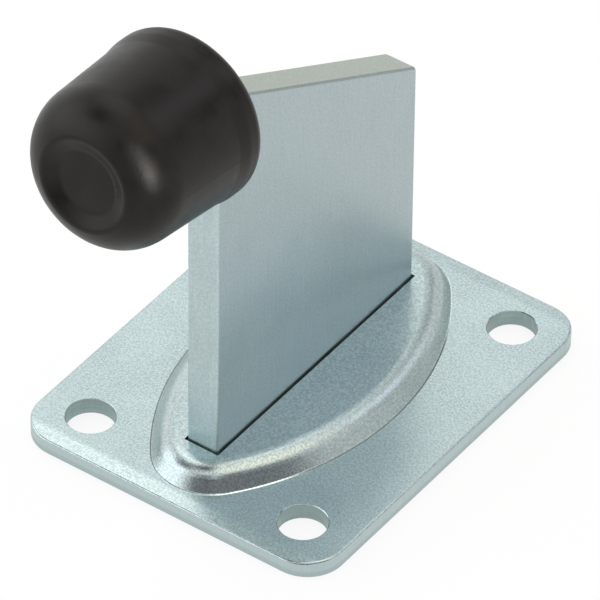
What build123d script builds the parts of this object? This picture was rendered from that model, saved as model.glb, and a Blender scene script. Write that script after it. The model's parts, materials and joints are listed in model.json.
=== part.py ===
"""Gate stop: a pressed base plate, a flat bar welded upright in it and a rubber buffer on the bar's tongue.

Millimetres. The origin is the centre of the plate's underside, +Z is up and the buffer faces -Y.
"""
import os
from math import cos, radians, sin, tan

from build123d import *

# Base plate
PLATE_X = 80.0
PLATE_END_LAND = 4.3
SHEET = 4.0
PLATE_CORNER_R = 9.0
PLATE_EDGE_R = 0.5
END_DRAW_MARGIN = 0.5
END_DRAW_DROP = 0.4
END_BEND_R = 8.0
HOLE_EDGE_X = 12.0
HOLE_EDGE_Y = 11.5
HOLE_D = 11.0
HOLE_RIM_BEVEL = 0.15

# Dome pressed up along the plate's middle, measured at its foot on the plate's top
DOME_WIDTH = 48.8
DOME_LENGTH = 91.4
DOME_END_R = 13.0
DOME_RISE = 4.8
DOME_WALL_ANGLE = 55.0
PUNCH_R = 1.0
DIE_R = 0.6

# Upright bar, in a slot through the dome
BAR_THICKNESS = 8.0
BAR_WIDTH = 71.2
BAR_SHIFT_Y = -0.7
BAR_TOP_FRONT = 107.0
BAR_TOP_BACK = 67.7
BAR_GROUND_GAP = 1.0
BAR_EDGE_R = 0.6
BAR_BACK_CORNER_R = 1.6
SLOT_CLEARANCE = 0.45

# Tongue that runs on from the bar's top front corner, along the buffer's axis
AXIS_RISE_ANGLE = 6.5
AXIS_DROP = 2.2
TONGUE_LENGTH = 27.0
TONGUE_HEIGHT = 16.0
TONGUE_TIP_R = 2.5
TONGUE_ROOT_R = 2.0
TONGUE_TOP_R = 12.0
NOTCH_FROM_TIP = 8.0
NOTCH_R = 1.6

# Rubber buffer
BUFFER_STANDOFF = 5.0
BUFFER_LENGTH = 36.4
RIM_R = 19.6
RIM_WIDTH = 5.0
RIM_EDGE_R = 2.7
RIM_BLEND_WIDTH = 3.0
RIM_BLEND_R = 6.0
WALL_BACK_R = 19.1
WALL_FRONT_R = 17.9
NOSE_R = 10.7
DISC_R = 7.2
DISC_SET_BACK = 2.0
DISH_WALL_ANGLE = 26.0
DISC_EDGE_R = 2.0
LIP_R = 1.8
POCKET_CLEARANCE = 0.1

# Weld beads along the bar, inside the dome's hollow
WELD_BARE_HEIGHT = 0.6
WELD_END_GAP = 6.0
WELD_CROWN = 0.5

# Places worked out from the sizes above
LEVEL_MARGIN = 0.001
PLATE_Y = DOME_LENGTH + 2 * PLATE_END_LAND
HOLE_SPACING_X = PLATE_X - 2 * HOLE_EDGE_X
HOLE_SPACING_Y = PLATE_Y - 2 * HOLE_EDGE_Y
PLATE_TOP = SHEET
DOME_TOP = PLATE_TOP + DOME_RISE
HOLLOW_TOP = DOME_TOP - SHEET
WALL_SLOPE = tan(radians(DOME_WALL_ANGLE))
FOOT_REACH = DIE_R * tan(radians(DOME_WALL_ANGLE / 2))
BAR_SIDE = BAR_THICKNESS / 2
BAR_FRONT = BAR_SHIFT_Y - BAR_WIDTH / 2
BAR_BACK = BAR_SHIFT_Y + BAR_WIDTH / 2
AXIS_START_Z = BAR_TOP_FRONT - AXIS_DROP
AXIS_COS = cos(radians(AXIS_RISE_ANGLE))
AXIS_SIN = sin(radians(AXIS_RISE_ANGLE))


def lens(inset):
    """The dome's plan outline, moved inwards: two wide side arcs, tangent to a small arc at each end."""
    end_r = DOME_END_R - inset
    end_y = DOME_LENGTH / 2 - DOME_END_R
    half_width = DOME_WIDTH / 2 - inset
    step = half_width - end_r
    side_centre = (end_y**2 - step**2) / (2 * step)
    side_r = half_width + side_centre
    touch_x = end_r * side_centre / (side_r - end_r)
    touch_y = end_y + end_r * end_y / (side_r - end_r)
    with BuildLine() as outline:
        ThreePointArc((touch_x, -touch_y), (half_width, 0), (touch_x, touch_y))
        ThreePointArc((touch_x, touch_y), (0, end_y + end_r), (-touch_x, touch_y))
        ThreePointArc((-touch_x, touch_y), (-half_width, 0), (-touch_x, -touch_y))
        ThreePointArc((-touch_x, -touch_y), (0, -end_y - end_r), (touch_x, -touch_y))
    return make_face(outline.line)


def pressed_block(inset, bottom, top, shoulder_r):
    """A block on the lens outline, with its wall at the dome's slope and its top edge rounded."""
    outline = Pos(0, 0, bottom) * lens(inset)
    block = extrude(outline, amount=top - bottom, dir=(0, 0, 1), taper=90 - DOME_WALL_ANGLE)
    return fillet(edges_at(block, Axis.Z, top), shoulder_r)


def edges_at(part, axis, place):
    """The edges of a part that lie wholly at one place along an axis."""
    return part.edges().filter_by_position(axis, place - LEVEL_MARGIN, place + LEVEL_MARGIN)


def dome_foot_edges(plate, height):
    """The edges round the dome or its hollow at one height, without the plate's own outline."""
    reach_x = DOME_WIDTH / 2 + LEVEL_MARGIN
    reach_y = DOME_LENGTH / 2 + LEVEL_MARGIN
    level = edges_at(plate, Axis.Z, height)
    return level.filter_by(lambda edge: abs((edge @ 0.5).X) < reach_x and abs((edge @ 0.5).Y) < reach_y)


def drawn_side_view():
    """The flat sheet's side view: beside the dome's ends the top bends down a little to the plate's edge."""
    half = PLATE_Y / 2
    flat_half = DOME_LENGTH / 2 + FOOT_REACH + END_DRAW_MARGIN
    edge_height = SHEET - END_DRAW_DROP
    with BuildLine() as outline:
        Polyline((-half, 0), (half, 0), (half, edge_height), (flat_half, SHEET),
                 (-flat_half, SHEET), (-half, edge_height), close=True)
    face = make_face(outline.line)
    bends = face.vertices().filter_by_position(Axis.Y, SHEET - LEVEL_MARGIN, SHEET + LEVEL_MARGIN)
    return fillet(bends, END_BEND_R)


def wall_top_edges(plate):
    """The top edges of the plate's upright walls."""
    walls = plate.faces().filter_by(lambda face: abs(face.normal_at().Z) < LEVEL_MARGIN)
    return walls.edges().filter_by(lambda edge: (edge @ 0.5).Z > SHEET / 2 + LEVEL_MARGIN)


def make_base_plate():
    """The plate with its dome pressed at an even sheet thickness, the bar's slot and the bolt holes."""
    hollow_inset = (SHEET / cos(radians(DOME_WALL_ANGLE)) - SHEET) / WALL_SLOPE
    plate = extrude(RectangleRounded(PLATE_X, PLATE_Y, PLATE_CORNER_R), SHEET)
    plate &= across(drawn_side_view(), PLATE_X)
    plate = fillet(wall_top_edges(plate), PLATE_EDGE_R)
    plate += pressed_block(0, PLATE_TOP, DOME_TOP, PUNCH_R + SHEET)
    plate -= pressed_block(hollow_inset, 0, HOLLOW_TOP, PUNCH_R)
    plate = fillet(dome_foot_edges(plate, PLATE_TOP), DIE_R)
    plate = fillet(dome_foot_edges(plate, 0), DIE_R + SHEET)
    slot_x = BAR_THICKNESS + 2 * SLOT_CLEARANCE
    slot_y = BAR_WIDTH + 2 * SLOT_CLEARANCE
    plate -= Pos(0, BAR_SHIFT_Y, DOME_TOP) * Box(slot_x, slot_y, 2 * DOME_TOP)
    for place in GridLocations(HOLE_SPACING_X, HOLE_SPACING_Y, 2, 2):
        plate -= place * bolt_hole_cutter()
    return plate


def bolt_hole_cutter():
    """A round cutter that widens at the plate's top into the hole's bevelled rim."""
    hole_r = HOLE_D / 2
    rim_r = hole_r + HOLE_RIM_BEVEL
    rim_start = PLATE_TOP - HOLE_RIM_BEVEL
    with BuildLine(Plane.XZ) as outline:
        Polyline((0, -SHEET), (hole_r, -SHEET), (hole_r, rim_start), (rim_r, PLATE_TOP),
                 (rim_r, DOME_TOP), (0, DOME_TOP), close=True)
    return revolve(make_face(outline.line), Axis.Z)


def along_axis(forward, up):
    """A point of the bar's side view, by its place along and above the buffer's axis."""
    y = BAR_FRONT - forward * AXIS_COS + up * AXIS_SIN
    z = AXIS_START_Z + forward * AXIS_SIN + up * AXIS_COS
    return Vector(y, z)


def bar_outline():
    """The bar's side view: an upright with a slanted top that runs on into the tongue."""
    half_height = TONGUE_HEIGHT / 2
    top_slope = (BAR_TOP_FRONT - BAR_TOP_BACK) / BAR_WIDTH
    bottom_back = Vector(BAR_BACK, BAR_GROUND_GAP)
    bottom_front = Vector(BAR_FRONT, BAR_GROUND_GAP)
    root = Vector(BAR_FRONT, AXIS_START_Z - half_height / AXIS_COS)
    tip_low = along_axis(TONGUE_LENGTH, -half_height)
    tip_high = along_axis(TONGUE_LENGTH, half_height)
    meet_forward = (half_height / AXIS_COS - AXIS_DROP) / (top_slope - AXIS_SIN / AXIS_COS)
    meet = Vector(BAR_FRONT - meet_forward, BAR_TOP_FRONT + top_slope * meet_forward)
    top_back = Vector(BAR_BACK, BAR_TOP_BACK)
    with BuildLine() as outline:
        Polyline(bottom_back, bottom_front, root, tip_low, tip_high, meet, top_back, close=True)
    face = make_face(outline.line)
    roundings = (
        (root, TONGUE_ROOT_R),
        (tip_low, TONGUE_TIP_R),
        (tip_high, TONGUE_TIP_R),
        (meet, TONGUE_TOP_R),
        (top_back, BAR_BACK_CORNER_R),
    )
    for corner, radius in roundings:
        face = fillet(face.vertices().sort_by_distance(corner)[0], radius)
    return face


def notches(radius):
    """The two round notches in the tongue's edges, in the bar's side view."""
    centres = [along_axis(TONGUE_LENGTH - NOTCH_FROM_TIP, side * TONGUE_HEIGHT / 2) for side in (-1, 1)]
    return Sketch() + [Pos(centre.X, centre.Y) * Circle(radius) for centre in centres]


def across(side_view, thickness):
    """A side view made solid, centred on the part's middle."""
    side_plane = Plane(origin=(0, 0, 0), x_dir=(0, 1, 0), z_dir=(1, 0, 0))
    return extrude(side_plane * side_view, amount=thickness / 2, both=True)


def make_stop_bar():
    """The flat bar with rounded edges and its notched tongue."""
    bar = across(bar_outline(), BAR_THICKNESS)
    bar = fillet(edges_at(bar, Axis.X, BAR_SIDE) + edges_at(bar, Axis.X, -BAR_SIDE), BAR_EDGE_R)
    return bar - across(notches(NOTCH_R), BAR_THICKNESS)


def make_buffer():
    """The moulded buffer: turned, with a shallow dish in its nose and a pocket that fits the tongue."""
    disc_face = BUFFER_LENGTH - DISC_SET_BACK
    dish_slope = tan(radians(DISH_WALL_ANGLE))
    back_corner = Vector(RIM_R, 0)
    rim_corner = Vector(RIM_R, RIM_WIDTH)
    wall_corner = Vector(WALL_BACK_R, RIM_WIDTH + RIM_BLEND_WIDTH)
    nose_corner = Vector(WALL_FRONT_R, BUFFER_LENGTH)
    with BuildLine() as outline:
        Polyline((0, 0), back_corner, rim_corner, wall_corner, nose_corner, (0, BUFFER_LENGTH), close=True)
    profile = make_face(outline.line)
    roundings = (
        (back_corner, RIM_EDGE_R),
        (rim_corner, RIM_BLEND_R),
        (wall_corner, RIM_BLEND_R),
        (nose_corner, NOSE_R),
    )
    for corner, radius in roundings:
        profile = fillet(profile.vertices().sort_by_distance(corner)[0], radius)
    disc_edge = Vector(DISC_R, disc_face)
    wall_end = disc_edge + Vector(RIM_R, RIM_R * dish_slope)
    with BuildLine() as dish:
        Polyline((0, disc_face), disc_edge, wall_end, (0, wall_end.Y), close=True)
    profile -= make_face(dish.line)
    profile = fillet(profile.vertices().sort_by(Axis.Y)[-1], LIP_R)
    profile = fillet(profile.vertices().sort_by_distance(disc_edge)[0], DISC_EDGE_R)
    body = revolve(Plane.XZ * profile, Axis.Z)
    start = along_axis(BUFFER_STANDOFF, 0)
    seat = Plane(origin=(0, start.X, start.Y), x_dir=(1, 0, 0), z_dir=(0, -AXIS_COS, AXIS_SIN))
    pocket = offset(bar_outline(), POCKET_CLEARANCE) - notches(NOTCH_R - POCKET_CLEARANCE)
    return seat * body - across(pocket, BAR_THICKNESS + 2 * POCKET_CLEARANCE)


def make_weld_bead():
    """One fillet weld between the bar's side and the underside of the dome's top, with rounded ends."""
    leg = HOLLOW_TOP - BAR_GROUND_GAP - WELD_BARE_HEIGHT
    length = BAR_WIDTH - 2 * WELD_END_GAP
    width = leg + SLOT_CLEARANCE
    with BuildLine(Plane.XZ) as outline:
        Polyline((width, 0), (0, 0), (0, -leg))
        SagittaArc((0, -leg), (width, 0), -WELD_CROWN)
    section = make_face(outline.line)
    bead = extrude(section, amount=length / 2, both=True)
    end_axis = Axis((0, 0, 0), (0, 0, 1))
    rounded_end = revolve(section, end_axis, 90)
    bead += Pos(0, length / 2, 0) * rounded_end
    bead += Pos(0, -length / 2, 0) * mirror(rounded_end, Plane.XZ)
    return Pos(BAR_SIDE, BAR_SHIFT_Y, HOLLOW_TOP) * bead


def main():
    right_bead = make_weld_bead()
    pieces = {
        "base_plate": make_base_plate(),
        "stop_bar": make_stop_bar(),
        "rubber_buffer": make_buffer(),
        "weld_bead_right": right_bead,
        "weld_bead_left": mirror(right_bead, Plane.YZ),
    }
    os.makedirs("parts", exist_ok=True)
    for name, piece in pieces.items():
        export_step(piece, f"parts/{name}.step")


main()
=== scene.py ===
"""Gate stop: finishes of the zinc-plated plate and bar, the welds and the rubber buffer, and a studio."""
import json
from math import cos, pi, radians, sin

import bpy
from bpy.props import FloatProperty, FloatVectorProperty, IntProperty, PointerProperty
from mathutils import Matrix, Vector


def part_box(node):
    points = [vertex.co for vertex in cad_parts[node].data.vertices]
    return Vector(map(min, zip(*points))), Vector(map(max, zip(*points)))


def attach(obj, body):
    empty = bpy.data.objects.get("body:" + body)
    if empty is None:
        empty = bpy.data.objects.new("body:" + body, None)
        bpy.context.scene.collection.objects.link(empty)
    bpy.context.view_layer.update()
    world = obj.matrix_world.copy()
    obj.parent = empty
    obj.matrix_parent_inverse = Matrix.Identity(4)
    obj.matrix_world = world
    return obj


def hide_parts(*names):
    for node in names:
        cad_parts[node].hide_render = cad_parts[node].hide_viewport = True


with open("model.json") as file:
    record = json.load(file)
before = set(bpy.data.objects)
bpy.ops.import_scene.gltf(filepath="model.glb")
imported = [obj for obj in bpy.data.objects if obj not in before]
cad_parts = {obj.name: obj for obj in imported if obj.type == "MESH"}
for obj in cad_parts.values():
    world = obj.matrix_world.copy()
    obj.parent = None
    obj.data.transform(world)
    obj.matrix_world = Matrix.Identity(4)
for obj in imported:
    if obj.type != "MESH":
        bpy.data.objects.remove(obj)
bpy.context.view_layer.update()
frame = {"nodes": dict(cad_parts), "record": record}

bl_info = {
    "name": "Gate Stop",
    "version": (1, 0, 0),
    "blender": (4, 5, 0),
    "location": "View3D > Sidebar > Gate Stop",
    "description": "Finishes and stages a gate stop with a rubber buffer",
    "category": "Object",
}

IMAGE_WIDTH = 600
MM = 0.001


def bolt_pattern():
    """The bolt holes' half spacings and radius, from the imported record."""
    mounts = frame["record"]["mounts"]
    sizes = next(mount["dims"] for mount in mounts if mount["kind"] == "bolt_pattern")
    return sizes["spacing_x_mm"] / 2 * MM, sizes["spacing_y_mm"] / 2 * MM, sizes["hole_r_mm"] * MM


HOLE_X, HOLE_Y, HOLE_R = bolt_pattern()
HOLE_RIM = HOLE_R, 1.2 * HOLE_R

# The pressed sheet: its thickness, and where the dome's long sides and its right side fade out, for roughness
# and for the painted shade and painted highlight at the dome's foot
SHEET = 4.0 * MM
DULL_SIDE = 24 * MM, 48 * MM
CREASED_SIDE = 40 * MM, 49 * MM
RIGHT_SIDE = 4 * MM, 9 * MM
RIGHT_SIDE_SHIFT = 16 * MM
FOOT_START = 0.002 * MM, 0.008 * MM
FOOT_END = 0.1 * MM, 0.14 * MM

# Faces told apart by the upright part of their normal, which is zero on a wall and one on a level face
WALL_FACE = 0.2, 0.4
UPWARD_FACE = 0.2, 0.4
STEEP_FACE = 0.62, 0.8
DRAWN_FACE = 0.93, 0.985
SAWN_FACE = 0.55, 0.8

# The bar's narrow faces, long corners and sawn edges, told apart by their normal's parts
NARROW_FACE = 0.5, 0.8
LONG_CORNER = 0.2, 0.4
SAWN_EDGE = 0.1, 0.25

# Patterns: the range in which a noise value moves, the size of each pattern and what it changes
NOISE_RANGE = 0.3, 0.7
CLOUD_RANGE = 0.35, 0.65
CLOUD_SIZE = 16 * MM
CLOUD_SHADE = 0.97, 1.03
CLOUD_ROUGHNESS = -0.03, 0.04
SHEAR_SIZE = 0.5 * MM
SHEAR_LIE = 1, 1, 0.12
SHEAR_ROUGHNESS = 0.34, 0.46
RING_LIE = 0.05, 0.05, 1
RING_SHADE = 0.75, 1.25
TORN_HEIGHT = 0.9 * MM, 1.8 * MM
TORN_SHADE = 0.2
TORN_SHARE = 0.84
STREAK_SHADE = 1.03, 0.97
STREAK_RELIEF = 0.6
# Painted light: the bar's narrow faces are made lighter than its broad ones
NARROW_PAINTED_LIGHT = 1.09
# Painted highlight on the bar's long corners
CORNER_HIGHLIGHT = 1.2
# Painted shadow of the burr along the sawn top's edge
BURR_SHADOW_TONE = 0.2
BAR_ROUGHNESS = 0.08
PIT_SIZE = 0.4 * MM
PIT_DEPTH = 0.03 * MM
PIT_ROUGHNESS = 0.32, 0.5
HEAT_SIZE = 6.0 * MM
HEAT_SHADE = 0.8
BLOOM_SIZE = 9.0 * MM
BLOOM_RANGE = 0.4, 0.75
BLOOM_ROUGHNESS = -0.05, 0.06

# The weld beads: how uneven the ripples are, how blunt the ends are and how the face is rounded
WOBBLE_SIZE = 7.0 * MM
WOBBLE_TURN = 5.0
END_BLUNTNESS = 1.02
CROWN_STEPS = 6
CROWN_SHARE = 0.36


class ZincSettings(bpy.types.PropertyGroup):
    """Finish of the zinc-plated steel."""
    colour: FloatVectorProperty(
        name="Colour", description="Colour of the plating on the rolled faces", subtype="COLOR",
        default=(0.432, 0.525, 0.532), min=0, max=1)
    edge_colour: FloatVectorProperty(
        name="Edge colour", description="Colour of the plating on the plate's sheared edges", subtype="COLOR",
        default=(0.475, 0.575, 0.575), min=0, max=1)
    cut_colour: FloatVectorProperty(
        name="Cut colour", description="Colour of the plating on the bar's sawn top", subtype="COLOR",
        default=(0.37, 0.42, 0.37), min=0, max=1)
    bar_colour: FloatVectorProperty(
        name="Bar colour", description="Colour of the plating on the bar's rolled faces", subtype="COLOR",
        default=(0.418, 0.492, 0.502), min=0, max=1)
    drawn_colour: FloatVectorProperty(
        name="Drawn colour", description="Colour of the plating where the press stretched the sheet",
        subtype="COLOR", default=(0.4, 0.47, 0.468), min=0, max=1)
    # Hole colour is darker than the edge colour as painted shade inside the holes
    hole_shaded_colour: FloatVectorProperty(
        name="Hole colour", description="Colour of the plating inside the punched holes", subtype="COLOR",
        default=(0.29, 0.38, 0.37), min=0, max=1)
    weld_colour: FloatVectorProperty(
        name="Weld colour", description="Colour of the plated weld metal", subtype="COLOR",
        default=(0.38, 0.42, 0.42), min=0, max=1)
    roughness: FloatProperty(
        name="Roughness", description="Blur of the plating's reflections", subtype="FACTOR",
        default=0.28, min=0, max=1)
    drawn_roughness: FloatProperty(
        name="Drawn roughness", description="Blur of the reflections where the press stretched the sheet",
        subtype="FACTOR", default=0.23, min=0, max=1)
    shoulder_roughness: FloatProperty(
        name="Shoulder roughness", description="Blur of the reflections on the dome's long shoulders",
        subtype="FACTOR", default=0.34, min=0, max=1)
    wall_roughness: FloatProperty(
        name="Wall roughness", description="Blur of the reflections on the dome's long walls",
        subtype="FACTOR", default=0.42, min=0, max=1)
    # Crease is painted shade: it darkens the foot line in the crease of the dome's long walls
    crease_shade: FloatProperty(
        name="Crease", description="How dark the line is at the foot of the dome's long walls",
        subtype="FACTOR", default=0.65, min=0, max=1)
    # Gleam is a painted highlight: it lightens the foot at the ends of the dome's right side
    foot_highlight: FloatProperty(
        name="Gleam", description="How much brighter the foot is at the ends of the dome's rubbed side",
        subtype="FACTOR", default=0.9, min=0, max=1)
    # Burr is a painted shadow: it darkens the edge of the bar's sawn top
    burr_shadow: FloatProperty(
        name="Burr", description="How dark the sawn top's edge is", subtype="FACTOR",
        default=0.4, min=0, max=1)
    grain_size: FloatProperty(
        name="Grain size", description="Width of the plating's crystal grain", unit="LENGTH",
        default=0.45 * MM)
    fleck: FloatProperty(
        name="Fleck", description="How much lighter and darker the grain's crystals are than the plating",
        subtype="FACTOR", default=0.16, min=0, max=1)
    grain_depth: FloatProperty(
        name="Grain depth", description="Height of the plating's crystal grain", unit="LENGTH",
        default=0.02 * MM)
    wave_size: FloatProperty(
        name="Wave size", description="Width of the rolled sheet's slow waves", unit="LENGTH",
        default=14.0 * MM)
    wave_depth: FloatProperty(
        name="Wave depth", description="Height of the rolled sheet's slow waves", unit="LENGTH",
        default=0.05 * MM)
    streak_width: FloatProperty(
        name="Streak width", description="Width of the drawn bar's long streaks", unit="LENGTH",
        default=0.5 * MM)
    streak_length: FloatProperty(
        name="Streak length", description="Length of the drawn bar's streaks", unit="LENGTH",
        default=14.0 * MM)


class WeldSettings(bpy.types.PropertyGroup):
    """Shape of the weld beads inside the dome."""
    ripple_pitch: FloatProperty(
        name="Ripple pitch", description="Distance from one ripple of the bead to the next", unit="LENGTH",
        default=1.6 * MM)
    ripple_depth: FloatProperty(
        name="Ripple depth", description="Depth of the ripples as a share of the bead's width",
        subtype="FACTOR", default=0.09, min=0, max=1)
    ripple_lag: FloatProperty(
        name="Ripple lag", description="How far a ripple's middle trails behind its ends", unit="LENGTH",
        default=1.1 * MM)
    end_length: FloatProperty(
        name="End length", description="Length over which the bead tapers at each end", unit="LENGTH",
        default=3.4 * MM)
    crown: FloatProperty(
        name="Crown", description="How far the bead's face bulges past a flat one", unit="LENGTH",
        default=0.5 * MM)
    steps: IntProperty(
        name="Steps", description="Sections along one bead", default=220, min=8)


class RubberSettings(bpy.types.PropertyGroup):
    """Finish of the rubber buffer."""
    colour: FloatVectorProperty(
        name="Colour", description="Colour of the rubber", subtype="COLOR",
        default=(0.0028, 0.0024, 0.0024), min=0, max=1)
    bloom_colour: FloatVectorProperty(
        name="Bloom colour", description="Colour of the rubber's faint grey bloom", subtype="COLOR",
        default=(0.0062, 0.0057, 0.0046), min=0, max=1)
    roughness: FloatProperty(
        name="Roughness", description="Blur of the rubber's shine", subtype="FACTOR",
        default=0.34, min=0, max=1)
    shine: FloatProperty(
        name="Shine", description="Strength of the rubber's shine", subtype="FACTOR",
        default=0.238, min=0, max=1)
    shine_colour: FloatVectorProperty(
        name="Shine colour", description="Tint of the rubber's shine", subtype="COLOR",
        default=(1.0, 0.95, 0.87), min=0, max=1)
    skin_size: FloatProperty(
        name="Skin size", description="Width of the moulded skin's fine texture", unit="LENGTH",
        default=0.6 * MM)
    skin_depth: FloatProperty(
        name="Skin depth", description="Height of the moulded skin's fine texture", unit="LENGTH",
        default=0.022 * MM)


class StageSettings(bpy.types.PropertyGroup):
    """Camera, floor and light."""
    azimuth: FloatProperty(
        name="Azimuth", description="Camera's turn round the part", subtype="ANGLE", default=radians(35.605))
    elevation: FloatProperty(
        name="Elevation", description="Camera's height angle", subtype="ANGLE", default=radians(41.311))
    roll: FloatProperty(
        name="Roll", description="Camera's turn about its own line of sight", subtype="ANGLE",
        default=radians(0.616))
    distance: FloatProperty(
        name="Distance", description="Camera's distance from its target", unit="LENGTH", default=1.848397)
    target: FloatVectorProperty(
        name="Target", description="Point that the camera looks at", subtype="XYZ", unit="LENGTH",
        default=(0.0, -0.001277, 0.025333))
    focal_pixels: FloatProperty(
        name="Focal length", description="Focal length in pixels of the picture", default=8666.02)
    floor_colour: FloatVectorProperty(
        name="Floor", description="Colour of the floor", subtype="COLOR",
        default=(0.9, 0.9, 0.9), min=0, max=1)
    floor_white: FloatProperty(
        name="Floor white", description="Share of plain white in the floor as it is seen", subtype="FACTOR",
        default=0.85, min=0, max=1)


class GateStopSettings(bpy.types.PropertyGroup):
    """All settings of the gate stop."""
    zinc: PointerProperty(type=ZincSettings)
    weld: PointerProperty(type=WeldSettings)
    rubber: PointerProperty(type=RubberSettings)
    stage: PointerProperty(type=StageSettings)


def add_node(tree, kind, inputs=None, **attributes):
    """Adds a node, sets its attributes, and sets or links its inputs by name or number."""
    node = tree.nodes.new(kind)
    for name, value in attributes.items():
        setattr(node, name, value)
    for name, value in (inputs or {}).items():
        connect(tree, node.inputs[name], value)
    return node


def connect(tree, socket, value):
    """Links a socket to another one, or sets its value."""
    if isinstance(value, bpy.types.NodeSocket):
        tree.links.new(value, socket)
    elif socket.type == "RGBA":
        socket.default_value = (*value, 1.0)
    else:
        socket.default_value = value


def new_material(name):
    """A material with an empty node tree."""
    material = bpy.data.materials.new(name)
    material.use_nodes = True
    material.node_tree.nodes.clear()
    return material, material.node_tree


def object_place(tree):
    """A point's place in the part's own frame."""
    return add_node(tree, "ShaderNodeTexCoord").outputs["Object"]


def split(tree, vector):
    """A vector's three parts."""
    return add_node(tree, "ShaderNodeSeparateXYZ", {"Vector": vector}).outputs


def stretch(tree, vector, factors):
    """A vector multiplied part by part."""
    product = add_node(tree, "ShaderNodeVectorMath", {0: vector, 1: factors}, operation="MULTIPLY")
    return product.outputs["Vector"]


def noise(tree, vector, size, detail=2.0, roughness=0.5):
    """A noise texture's value, with cells of the given size."""
    inputs = {"Vector": vector, "Scale": 1.0 / size, "Detail": detail, "Roughness": roughness}
    return add_node(tree, "ShaderNodeTexNoise", inputs).outputs["Fac"]


def ramp(tree, value, low, high, to_low=0.0, to_high=1.0):
    """A value moved smoothly from one range to another."""
    inputs = {"Value": value, "From Min": low, "From Max": high, "To Min": to_low, "To Max": to_high}
    return add_node(tree, "ShaderNodeMapRange", inputs, interpolation_type="SMOOTHSTEP").outputs["Result"]


def math(tree, operation, first, second=0.0):
    """One arithmetic step between two values."""
    return add_node(tree, "ShaderNodeMath", {0: first, 1: second}, operation=operation).outputs[0]


def mix(tree, factor, first, second):
    """A blend of two colours."""
    return add_node(tree, "ShaderNodeMix", {0: factor, 6: first, 7: second}, data_type="RGBA").outputs[2]


def blend(tree, factor, first, second):
    """A blend of two values."""
    return add_node(tree, "ShaderNodeMix", {0: factor, 2: first, 3: second}, data_type="FLOAT").outputs[0]


def bump(tree, height, depth, normal=None):
    """A surface normal tilted by a height pattern of the given depth."""
    inputs = {"Height": height, "Distance": depth, "Strength": 1.0}
    if normal is not None:
        inputs["Normal"] = normal
    return add_node(tree, "ShaderNodeBump", inputs).outputs["Normal"]


def scaled(colour, factor):
    """A colour made lighter or darker."""
    return [min(1.0, part * factor) for part in colour]


def metal(tree, colour, roughness, normal):
    """A bare metal surface."""
    inputs = {"Base Color": colour, "Metallic": 1.0, "Roughness": roughness, "Normal": normal}
    shader = add_node(tree, "ShaderNodeBsdfPrincipled", inputs)
    add_node(tree, "ShaderNodeOutputMaterial", {"Surface": shader.outputs["BSDF"]})


def upright(tree, normal):
    """One on walls that stand upright, falling to zero on faces that slope."""
    flatness = math(tree, "ABSOLUTE", split(tree, normal)["Z"])
    return ramp(tree, flatness, *WALL_FACE, 1.0, 0.0)


def hole_distance(tree, place):
    """A point's distance from the axis of the nearest bolt hole."""
    parts = split(tree, place)
    across = math(tree, "SUBTRACT", math(tree, "ABSOLUTE", parts["X"]), HOLE_X)
    along = math(tree, "SUBTRACT", math(tree, "ABSOLUTE", parts["Y"]), HOLE_Y)
    offset = add_node(tree, "ShaderNodeCombineXYZ", {"X": across, "Y": along}).outputs[0]
    return add_node(tree, "ShaderNodeVectorMath", {0: offset}, operation="LENGTH").outputs["Value"]


def tone(tree, colour, factor):
    """A colour made lighter or darker by a value that changes over the surface."""
    product = add_node(tree, "ShaderNodeVectorMath", {0: colour, "Scale": factor}, operation="SCALE")
    return product.outputs["Vector"]


def drawn(tree, normal):
    """One where the pressed sheet slopes, falling to zero where it lies flat."""
    flatness = math(tree, "ABSOLUTE", split(tree, normal)["Z"])
    return ramp(tree, flatness, *DRAWN_FACE, 1.0, 0.0)


def steep(tree, normal):
    """One on the dome's walls, falling to zero on its shoulders."""
    flatness = math(tree, "ABSOLUTE", split(tree, normal)["Z"])
    return ramp(tree, flatness, *STEEP_FACE, 1.0, 0.0)


def right_side(tree, place):
    """One on the dome's right side, where the foot's ends get a painted highlight, and zero on its left."""
    return ramp(tree, split(tree, place)["X"], *RIGHT_SIDE)


def long_side(tree, place, reach):
    """One along the middle of the dome's long sides, and zero at their ends, sooner on the right side."""
    along = math(tree, "ABSOLUTE", split(tree, place)["Y"])
    along = math(tree, "ADD", along, math(tree, "MULTIPLY", right_side(tree, place), RIGHT_SIDE_SHIFT))
    return ramp(tree, along, *reach, 1.0, 0.0)


def foot_line(tree, place, normal):
    """One on the thin line where the dome's outside meets the sheet's top."""
    rise = math(tree, "SUBTRACT", split(tree, place)["Z"], SHEET)
    line = math(tree, "MULTIPLY", ramp(tree, rise, *FOOT_START), ramp(tree, rise, *FOOT_END, 1.0, 0.0))
    return math(tree, "MULTIPLY", line, ramp(tree, split(tree, normal)["Z"], *UPWARD_FACE))


def foot_shade_and_highlight(tree, place, settings):
    """The foot's painted light: painted shade in the crease along the long sides, and a painted highlight at
    the ends of the right one.
    """
    # Painted highlight at the ends of the right side's foot
    end_highlight = blend(tree, right_side(tree, place), 1.0, 1.0 + settings.foot_highlight)
    return blend(tree, long_side(tree, place, CREASED_SIDE), end_highlight, 1.0 - settings.crease_shade)


def rolled_zinc(tree, place, settings, fleck):
    """The plating's shade, roughness and grain, shared by every rolled face."""
    grain = noise(tree, place, settings.grain_size, detail=1.0)
    cloud = noise(tree, place, CLOUD_SIZE, detail=3.0, roughness=0.55)
    flecked = ramp(tree, grain, *NOISE_RANGE, 1.0 - fleck, 1.0 + fleck)
    shade = math(tree, "MULTIPLY", flecked, ramp(tree, cloud, *CLOUD_RANGE, *CLOUD_SHADE))
    smoother, rougher = (settings.roughness + change for change in CLOUD_ROUGHNESS)
    return shade, ramp(tree, cloud, *NOISE_RANGE, smoother, rougher), grain


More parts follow.
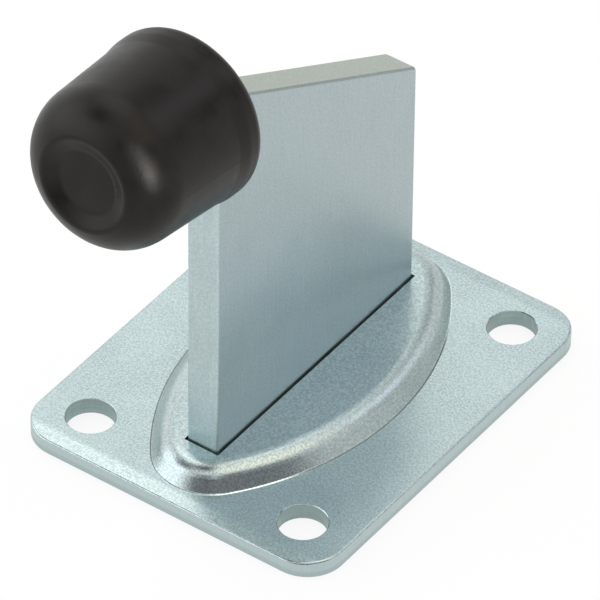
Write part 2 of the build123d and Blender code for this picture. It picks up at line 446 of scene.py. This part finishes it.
def plate_zinc_material(settings):
    """Zinc on the pressed plate: grainy rolled faces, sheared outer edges, lined hole walls darkened by
    painted shade, and painted shade and a painted highlight at the dome's foot.
    """
    material, tree = new_material("zinc_plate_pressed")
    place = object_place(tree)
    height = split(tree, place)["Z"]
    normal = add_node(tree, "ShaderNodeNewGeometry").outputs["Normal"]
    shade, rough, grain = rolled_zinc(tree, place, settings, settings.fleck)
    wall = upright(tree, normal)
    pressed = drawn(tree, normal)
    colour = mix(tree, pressed, settings.colour, settings.drawn_colour)
    side_rough = blend(tree, steep(tree, normal), settings.shoulder_roughness, settings.wall_roughness)
    side_rough = blend(tree, long_side(tree, place, DULL_SIDE), settings.drawn_roughness, side_rough)
    rough = blend(tree, pressed, rough, side_rough)
    near_hole = ramp(tree, hole_distance(tree, place), *HOLE_RIM, 1.0, 0.0)
    in_hole = math(tree, "MULTIPLY", wall, near_hole)
    sheared = noise(tree, stretch(tree, place, SHEAR_LIE), SHEAR_SIZE, roughness=0.6)
    rings = noise(tree, stretch(tree, place, RING_LIE), SHEAR_SIZE, roughness=0.6)
    clean = ramp(tree, height, *TORN_HEIGHT, TORN_SHARE, 1.0)
    wall_colour = mix(tree, clean, scaled(settings.edge_colour, TORN_SHADE), settings.edge_colour)
    # The hole walls' darker colour is painted shade inside the holes; the rings over it are the punched
    # wall's shear lines
    hole_shaded_colour = mix(tree, rings, *(scaled(settings.hole_shaded_colour, factor) for factor in RING_SHADE))
    colour = mix(tree, wall, colour, wall_colour)
    shade = blend(tree, wall, shade, 1.0)
    # The foot line gets painted shade along the long sides' crease and a painted highlight at the right
    # side's ends
    foot = blend(tree, foot_line(tree, place, normal), 1.0, foot_shade_and_highlight(tree, place, settings))
    shade = math(tree, "MULTIPLY", shade, foot)
    colour = tone(tree, mix(tree, in_hole, colour, hole_shaded_colour), shade)
    rough = blend(tree, wall, rough, ramp(tree, sheared, *NOISE_RANGE, *SHEAR_ROUGHNESS))
    wave = noise(tree, place, settings.wave_size, detail=1.0, roughness=0.4)
    shape = bump(tree, wave, settings.wave_depth)
    lines = blend(tree, in_hole, sheared, rings)
    shape = bump(tree, blend(tree, wall, grain, lines), settings.grain_depth, shape)
    metal(tree, colour, rough, shape)
    return material


def bar_zinc_material(settings):
    """Zinc on the flat bar: long streaks up the rolled faces and a plain cut along the slanted top, with
    painted light on the narrow faces and long corners and a painted shadow at the top's edge.
    """
    material, tree = new_material("zinc_plate_bar")
    place = object_place(tree)
    normal = split(tree, add_node(tree, "ShaderNodeNewGeometry").outputs["Normal"])
    shade, rough, grain = rolled_zinc(tree, place, settings, settings.fleck / 2)
    lie = settings.streak_width / settings.streak_length
    streak = noise(tree, stretch(tree, place, (1, 1, lie)), settings.streak_width, detail=3.0, roughness=0.6)
    streaked = ramp(tree, streak, *NOISE_RANGE, *STREAK_SHADE)
    across = math(tree, "ABSOLUTE", normal["X"])
    along = math(tree, "ABSOLUTE", normal["Y"])
    narrow = ramp(tree, along, *NARROW_FACE)
    corner = ramp(tree, math(tree, "MULTIPLY", across, along), *LONG_CORNER)
    sawn = ramp(tree, normal["Z"], *SAWN_FACE)
    saw_edge = ramp(tree, math(tree, "MULTIPLY", across, normal["Z"]), *SAWN_EDGE)
    # Painted light: the narrow faces are made lighter than the broad ones
    colour = mix(tree, narrow, settings.bar_colour, scaled(settings.colour, NARROW_PAINTED_LIGHT))
    # Painted highlight along the bar's long corners
    colour = mix(tree, corner, colour, scaled(settings.colour, CORNER_HIGHLIGHT))
    colour = mix(tree, sawn, colour, settings.cut_colour)
    colour = tone(tree, colour, math(tree, "MULTIPLY", shade, streaked))
    # Painted shadow: the burr's shade darkens the sawn top's edge
    burr_shadow = math(tree, "MULTIPLY", saw_edge, settings.burr_shadow)
    colour = mix(tree, burr_shadow, colour, scaled(settings.cut_colour, BURR_SHADOW_TONE))
    rough = math(tree, "ADD", rough, BAR_ROUGHNESS)
    wave = noise(tree, place, settings.wave_size, detail=1.0, roughness=0.4)
    shape = bump(tree, wave, settings.wave_depth)
    relief = blend(tree, STREAK_RELIEF, grain, streak)
    shape = bump(tree, relief, settings.grain_depth, shape)
    metal(tree, colour, rough, shape)
    return material


def weld_material(settings):
    """Plated weld metal, duller than the sheet and lightly pitted."""
    material, tree = new_material("zinc_weld")
    place = object_place(tree)
    pits = noise(tree, place, PIT_SIZE, detail=4.0, roughness=0.7)
    heat = ramp(tree, noise(tree, place, HEAT_SIZE), *NOISE_RANGE)
    colour = mix(tree, heat, scaled(settings.weld_colour, HEAT_SHADE), settings.weld_colour)
    rough = ramp(tree, pits, *NOISE_RANGE, *PIT_ROUGHNESS)
    metal(tree, colour, rough, bump(tree, pits, PIT_DEPTH))
    return material


def rubber_material(settings):
    """Black moulded rubber, faintly brown, with a fine skin and a trace of grey bloom."""
    material, tree = new_material("buffer_rubber")
    place = object_place(tree)
    skin = noise(tree, place, settings.skin_size, detail=3.0, roughness=0.6)
    bloom = noise(tree, place, BLOOM_SIZE, detail=4.0, roughness=0.6)
    colour = mix(tree, ramp(tree, bloom, *BLOOM_RANGE), settings.colour, settings.bloom_colour)
    smoother, rougher = (settings.roughness + change for change in BLOOM_ROUGHNESS)
    rough = ramp(tree, bloom, *NOISE_RANGE, smoother, rougher)
    shader = add_node(tree, "ShaderNodeBsdfPrincipled", {
        "Base Color": colour, "Roughness": rough, "Specular IOR Level": settings.shine,
        "Specular Tint": settings.shine_colour, "Normal": bump(tree, skin, settings.skin_depth)})
    add_node(tree, "ShaderNodeOutputMaterial", {"Surface": shader.outputs["BSDF"]})
    return material


def give_material(node_name, material):
    """Puts a material on a CAD node in place of its plain one."""
    mesh = frame["nodes"][node_name].data
    mesh.materials.clear()
    mesh.materials.append(material)


def weld_bead_tree():
    """A rippled fillet weld that runs along +Z, in the corner of a wall at x = 0 and a ceiling at y = 0."""
    tree = bpy.data.node_groups.new("weld_bead", "GeometryNodeTree")
    names = ("Length", "Width", "Drop", "Crown", "Ripple Pitch", "Ripple Depth", "Ripple Lag", "End Length")
    for name in names:
        tree.interface.new_socket(name, in_out="INPUT", socket_type="NodeSocketFloat")
    tree.interface.new_socket("Steps", in_out="INPUT", socket_type="NodeSocketInt")
    tree.interface.new_socket("Material", in_out="INPUT", socket_type="NodeSocketMaterial")
    tree.interface.new_socket("Bead", in_out="OUTPUT", socket_type="NodeSocketGeometry")
    given = tree.nodes.new("NodeGroupInput").outputs

    def point(x=0.0, y=0.0, z=0.0):
        return add_node(tree, "ShaderNodeCombineXYZ", {"X": x, "Y": y, "Z": z}).outputs[0]

    def end_share(run):
        from_end = math(tree, "MINIMUM", run, math(tree, "SUBTRACT", given["Length"], run))
        return math(tree, "MINIMUM", math(tree, "DIVIDE", from_end, given["End Length"]), 1.0)

    half_width = math(tree, "MULTIPLY", given["Width"], 0.5)
    half_drop = math(tree, "MULTIPLY", given["Drop"], -0.5)
    bulge = math(tree, "MULTIPLY", given["Crown"], cos(pi / 4))
    crown = point(math(tree, "ADD", half_width, bulge), math(tree, "SUBTRACT", half_drop, bulge))
    toe = point(0.0, math(tree, "MULTIPLY", given["Drop"], -1.0))
    section = add_node(tree, "GeometryNodeCurvePrimitiveQuadrilateral", mode="POINTS", inputs={
        "Point 1": (0, 0, 0), "Point 2": toe, "Point 3": crown, "Point 4": point(given["Width"])})
    crown_index = 2
    index = add_node(tree, "GeometryNodeInputIndex").outputs[0]
    at_crown = add_node(
        tree, "FunctionNodeCompare", {2: index, 3: crown_index}, data_type="INT", operation="EQUAL")
    rounding = math(tree, "MULTIPLY", at_crown.outputs[0], given["Width"])
    section = add_node(tree, "GeometryNodeFilletCurve", mode="POLY", inputs={
        "Curve": section.outputs[0], "Count": CROWN_STEPS, "Radius": rounding, "Limit Radius": True})

    path = add_node(tree, "GeometryNodeCurvePrimitiveLine", {"End": point(z=given["Length"])})
    path = add_node(tree, "GeometryNodeResampleCurve", {"Curve": path.outputs[0], "Count": given["Steps"]})
    along = add_node(tree, "GeometryNodeSplineParameter").outputs["Length"]
    turn = math(tree, "MULTIPLY", math(tree, "DIVIDE", along, given["Ripple Pitch"]), 2 * pi)
    wobble = noise(tree, point(z=along), WOBBLE_SIZE, detail=1.0)
    wave = math(tree, "COSINE", math(tree, "ADD", turn, math(tree, "MULTIPLY", wobble, WOBBLE_TURN)))
    trough = math(tree, "MULTIPLY", math(tree, "SUBTRACT", 1.0, wave), 0.5)
    dip = math(tree, "MULTIPLY", trough, given["Ripple Depth"])
    gap = math(tree, "SUBTRACT", 1.0, end_share(along))
    taper = math(tree, "SQRT", math(tree, "SUBTRACT", END_BLUNTNESS, math(tree, "MULTIPLY", gap, gap)))
    taper = math(tree, "MINIMUM", taper, 1.0)
    size = math(tree, "MULTIPLY", taper, math(tree, "SUBTRACT", 1.0, dip))
    bead = add_node(tree, "GeometryNodeCurveToMesh", {
        "Curve": path.outputs[0], "Profile Curve": section.outputs[0], "Scale": size, "Fill Caps": True})

    place = split(tree, add_node(tree, "GeometryNodeInputPosition").outputs[0])
    share = end_share(place["Z"])
    depth = math(tree, "MULTIPLY", place["X"], place["Y"])
    corner = math(tree, "MULTIPLY", math(tree, "MULTIPLY", given["Width"], given["Drop"]), -CROWN_SHARE)
    middle = math(tree, "MINIMUM", math(tree, "DIVIDE", depth, corner), 1.0)
    lag = math(tree, "MULTIPLY", math(tree, "MULTIPLY", middle, share), given["Ripple Lag"])
    bead = add_node(tree, "GeometryNodeSetPosition", {"Geometry": bead.outputs[0], "Offset": point(z=lag)})
    bead = add_node(tree, "GeometryNodeRealizeInstances", {"Geometry": bead.outputs[0]})
    bead = add_node(tree, "GeometryNodeSetMaterial", {
        "Geometry": bead.outputs[0], "Material": given["Material"]})
    add_node(tree, "NodeGroupOutput", {"Bead": bead.outputs[0]})
    return tree


def run_tree(tree, values):
    """The plain mesh that a geometry node tree makes from named values."""
    carrier = bpy.data.objects.new(tree.name, bpy.data.meshes.new(tree.name))
    bpy.context.scene.collection.objects.link(carrier)
    modifier = carrier.modifiers.new(tree.name, "NODES")
    modifier.node_group = tree
    sockets = {item.name: item.identifier for item in tree.interface.items_tree if item.in_out == "INPUT"}
    for name, value in values.items():
        modifier[sockets[name]] = value
    graph = bpy.context.evaluated_depsgraph_get()
    mesh = bpy.data.meshes.new_from_object(carrier.evaluated_get(graph), depsgraph=graph)
    bpy.data.objects.remove(carrier)
    return mesh


def camera_axes(settings):
    """The camera's right, up and back directions."""
    a, e, r = settings.azimuth, settings.elevation, settings.roll
    right = Vector((cos(a), sin(a), 0.0))
    back = Vector((sin(a) * cos(e), -cos(a) * cos(e), sin(e)))
    up = back.cross(right)
    return cos(r) * right + sin(r) * up, cos(r) * up - sin(r) * right, back


def make_camera(settings):
    """The camera at the picture's viewing angle."""
    right, up, back = camera_axes(settings)
    data = bpy.data.cameras.new("camera")
    data.sensor_width = 36.0
    data.lens = settings.focal_pixels / IMAGE_WIDTH * data.sensor_width
    data.clip_end = 100.0
    camera = bpy.data.objects.new("camera", data)
    turn = Matrix((right, up, back)).transposed().to_4x4()
    camera.matrix_world = Matrix.Translation(Vector(settings.target) + settings.distance * back) @ turn
    bpy.context.scene.collection.objects.link(camera)
    bpy.context.scene.camera = camera


def make_floor(settings):
    """A wide pale floor under the part, seen nearly white."""
    half = 3.0
    mesh = bpy.data.meshes.new("floor")
    corners = [(-half, -half, 0), (half, -half, 0), (half, half, 0), (-half, half, 0)]
    mesh.from_pydata(corners, [], [(0, 1, 2, 3)])
    floor = bpy.data.objects.new("floor", mesh)
    bpy.context.scene.collection.objects.link(floor)
    material, tree = new_material("floor")
    path = add_node(tree, "ShaderNodeLightPath")
    seen = math(tree, "MAXIMUM", path.outputs["Is Camera Ray"], path.outputs["Is Glossy Ray"])
    seen = math(tree, "MAXIMUM", seen, path.outputs["Is Transmission Ray"])
    diffuse = add_node(tree, "ShaderNodeBsdfDiffuse", {"Color": settings.floor_colour})
    glow = add_node(tree, "ShaderNodeEmission", {"Color": (1, 1, 1), "Strength": 1.0})
    share = math(tree, "MULTIPLY", seen, settings.floor_white)
    mixed = add_node(tree, "ShaderNodeMixShader", {0: share, 1: diffuse.outputs[0], 2: glow.outputs[0]})
    add_node(tree, "ShaderNodeOutputMaterial", {"Surface": mixed.outputs[0]})
    mesh.materials.append(material)


def sky_direction(azimuth, elevation):
    """The direction at an azimuth, measured from -Y towards +X, and an elevation, both in degrees."""
    a, e = radians(azimuth), radians(elevation)
    return (sin(a) * cos(e), -cos(a) * cos(e), sin(e))


# Soft boxes and dark gaps of the studio: azimuth, elevation, inner and outer radius in degrees, and colour
STUDIO = (
    ("dim back wall", 182, 42, 8, 24, (0.64, 0.64, 0.64)),
    ("dim right wall", 130, 46, 7, 15, (0.55, 0.55, 0.55)),
    ("back softbox", 149, 42, 6, 16, (1.7, 1.74, 1.95)),
    ("right softbox", 96, 63, 13, 23, (1.75, 1.65, 1.45)),
    ("overhead softbox", -130, 68, 15, 25, (2.1, 2.07, 2.0)),
    ("gap behind on the right", 136, 25, 4, 13, (0.16, 0.16, 0.16)),
    ("dark room behind the camera", 70, 22, 19, 29, (0.3, 0.29, 0.31)),
    ("dark room in front", 20, 18, 22, 31, (0.25, 0.24, 0.26)),
    ("left wall", -108, 8, 14, 34, (1.4, 1.4, 1.42)),
    ("left softbox", -55, 25, 22, 36, (2.15, 2.2, 2.3)),
    ("gap over the left softbox", -55, 55, 10, 20, (0.25, 0.25, 0.27)),
)
HORIZON_COLOUR = (0.95, 0.95, 0.95)
ZENITH_COLOUR = (1.14, 1.14, 1.14)
ZENITH_START = 35


# Lamps that shine on the buffer alone: azimuth, elevation and width in degrees, and strength
BUFFER_LAMPS = (
    ("low_buffer_lamp", 57, 11, 25, 1.9),
    ("high_buffer_lamp", 46, 31, 22, 0.65),
)


def make_buffer_lamps():
    """The lamps on the right that give the buffer its shine."""
    lit = bpy.data.collections.new("lit_by_buffer_lamps")
    lit.objects.link(frame["nodes"]["rubber_buffer"])
    for name, azimuth, elevation, width, strength in BUFFER_LAMPS:
        data = bpy.data.lights.new(name, "SUN")
        data.angle = radians(width)
        data.energy = strength
        lamp = bpy.data.objects.new(name, data)
        direction = Vector(sky_direction(azimuth, elevation))
        lamp.matrix_world = direction.to_track_quat("Z", "Y").to_matrix().to_4x4()
        bpy.context.scene.collection.objects.link(lamp)
        lamp.light_linking.receiver_collection = lit


def make_world():
    """A pale tent with soft boxes, open and dark behind the camera."""
    world = bpy.data.worlds.new("studio")
    world.use_nodes = True
    tree = world.node_tree
    tree.nodes.clear()
    direction = add_node(tree, "ShaderNodeTexCoord").outputs["Generated"]
    height = split(tree, direction)["Z"]
    colour = mix(tree, ramp(tree, height, 0.0, sin(radians(ZENITH_START))), HORIZON_COLOUR, ZENITH_COLOUR)
    for _, azimuth, elevation, inner, outer, level in STUDIO:
        centre = sky_direction(azimuth, elevation)
        facing = add_node(tree, "ShaderNodeVectorMath", {0: direction, 1: centre}, operation="DOT_PRODUCT")
        spread = ramp(tree, facing.outputs["Value"], cos(radians(outer)), cos(radians(inner)))
        colour = mix(tree, spread, colour, level)
    background = add_node(tree, "ShaderNodeBackground", {"Color": colour, "Strength": 1.0})
    add_node(tree, "ShaderNodeOutputWorld", {"Surface": background.outputs[0]})
    bpy.context.scene.world = world


class GATESTOP_OT_base_plate(bpy.types.Operator):
    """Plates the pressed base plate with zinc"""
    bl_idname = "gate_stop.base_plate"
    bl_label = "Base Plate"

    def execute(self, context):
        give_material("base_plate", plate_zinc_material(context.scene.gate_stop.zinc))
        return {"FINISHED"}


class GATESTOP_OT_stop_bar(bpy.types.Operator):
    """Plates the upright bar with zinc"""
    bl_idname = "gate_stop.stop_bar"
    bl_label = "Stop Bar"

    def execute(self, context):
        give_material("stop_bar", bar_zinc_material(context.scene.gate_stop.zinc))
        return {"FINISHED"}


class GATESTOP_OT_weld_beads(bpy.types.Operator):
    """Makes the two rippled weld beads inside the dome"""
    bl_idname = "gate_stop.weld_beads"
    bl_label = "Weld Beads"

    def execute(self, context):
        settings = context.scene.gate_stop.weld
        material = weld_material(context.scene.gate_stop.zinc)
        tree = weld_bead_tree()
        for side, name in ((1, "right"), (-1, "left")):
            low, high = (Vector(corner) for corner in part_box(f"weld_bead_{name}"))
            size = high - low
            mesh = run_tree(tree, {
                "Length": size.y, "Width": size.x, "Drop": size.z, "Crown": settings.crown,
                "Ripple Pitch": settings.ripple_pitch, "Ripple Depth": settings.ripple_depth,
                "Ripple Lag": settings.ripple_lag, "End Length": settings.end_length,
                "Steps": settings.steps, "Material": material})
            corner = Vector((low.x, high.y, high.z) if side > 0 else (high.x, low.y, high.z))
            turn = Matrix(((side, 0, 0), (0, 0, -side), (0, 1, 0))).to_4x4()
            mesh.transform(Matrix.Translation(corner) @ turn)
            bead = bpy.data.objects.new(f"rippled_weld_{name}", mesh)
            context.scene.collection.objects.link(bead)
            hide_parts(f"weld_bead_{name}")
            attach(bead, "root")
        return {"FINISHED"}


class GATESTOP_OT_rubber_buffer(bpy.types.Operator):
    """Gives the buffer its rubber"""
    bl_idname = "gate_stop.rubber_buffer"
    bl_label = "Rubber Buffer"

    def execute(self, context):
        give_material("rubber_buffer", rubber_material(context.scene.gate_stop.rubber))
        return {"FINISHED"}


class GATESTOP_OT_stage(bpy.types.Operator):
    """Makes the floor, the light and the camera"""
    bl_idname = "gate_stop.stage"
    bl_label = "Stage"

    def execute(self, context):
        settings = context.scene.gate_stop.stage
        context.scene.view_settings.view_transform = "Standard"
        make_camera(settings)
        make_floor(settings)
        make_buffer_lamps()
        make_world()
        return {"FINISHED"}


class GATESTOP_PT_panel(bpy.types.Panel):
    """Settings and steps of the gate stop"""
    bl_idname = "GATESTOP_PT_panel"
    bl_label = "Gate Stop"
    bl_space_type = "VIEW_3D"
    bl_region_type = "UI"
    bl_category = "Gate Stop"

    def draw(self, context):
        settings = context.scene.gate_stop
        for group in (settings.zinc, settings.weld, settings.rubber, settings.stage):
            box = self.layout.box()
            for name in group.__annotations__:
                box.prop(group, name)
        for step in STEPS:
            self.layout.operator(step.bl_idname)


STEPS = (GATESTOP_OT_base_plate, GATESTOP_OT_stop_bar, GATESTOP_OT_weld_beads, GATESTOP_OT_rubber_buffer,
         GATESTOP_OT_stage)
CLASSES = (
    ZincSettings, WeldSettings, RubberSettings, StageSettings, GateStopSettings, *STEPS, GATESTOP_PT_panel)


def register():
    for cls in CLASSES:
        bpy.utils.register_class(cls)
    bpy.types.Scene.gate_stop = PointerProperty(type=GateStopSettings)


def unregister():
    del bpy.types.Scene.gate_stop
    for cls in reversed(CLASSES):
        bpy.utils.unregister_class(cls)


def main():
    register()
    bpy.ops.gate_stop.base_plate()
    bpy.ops.gate_stop.stop_bar()
    bpy.ops.gate_stop.weld_beads()
    bpy.ops.gate_stop.rubber_buffer()
    bpy.ops.gate_stop.stage()


if __name__ == "__main__":
    main()
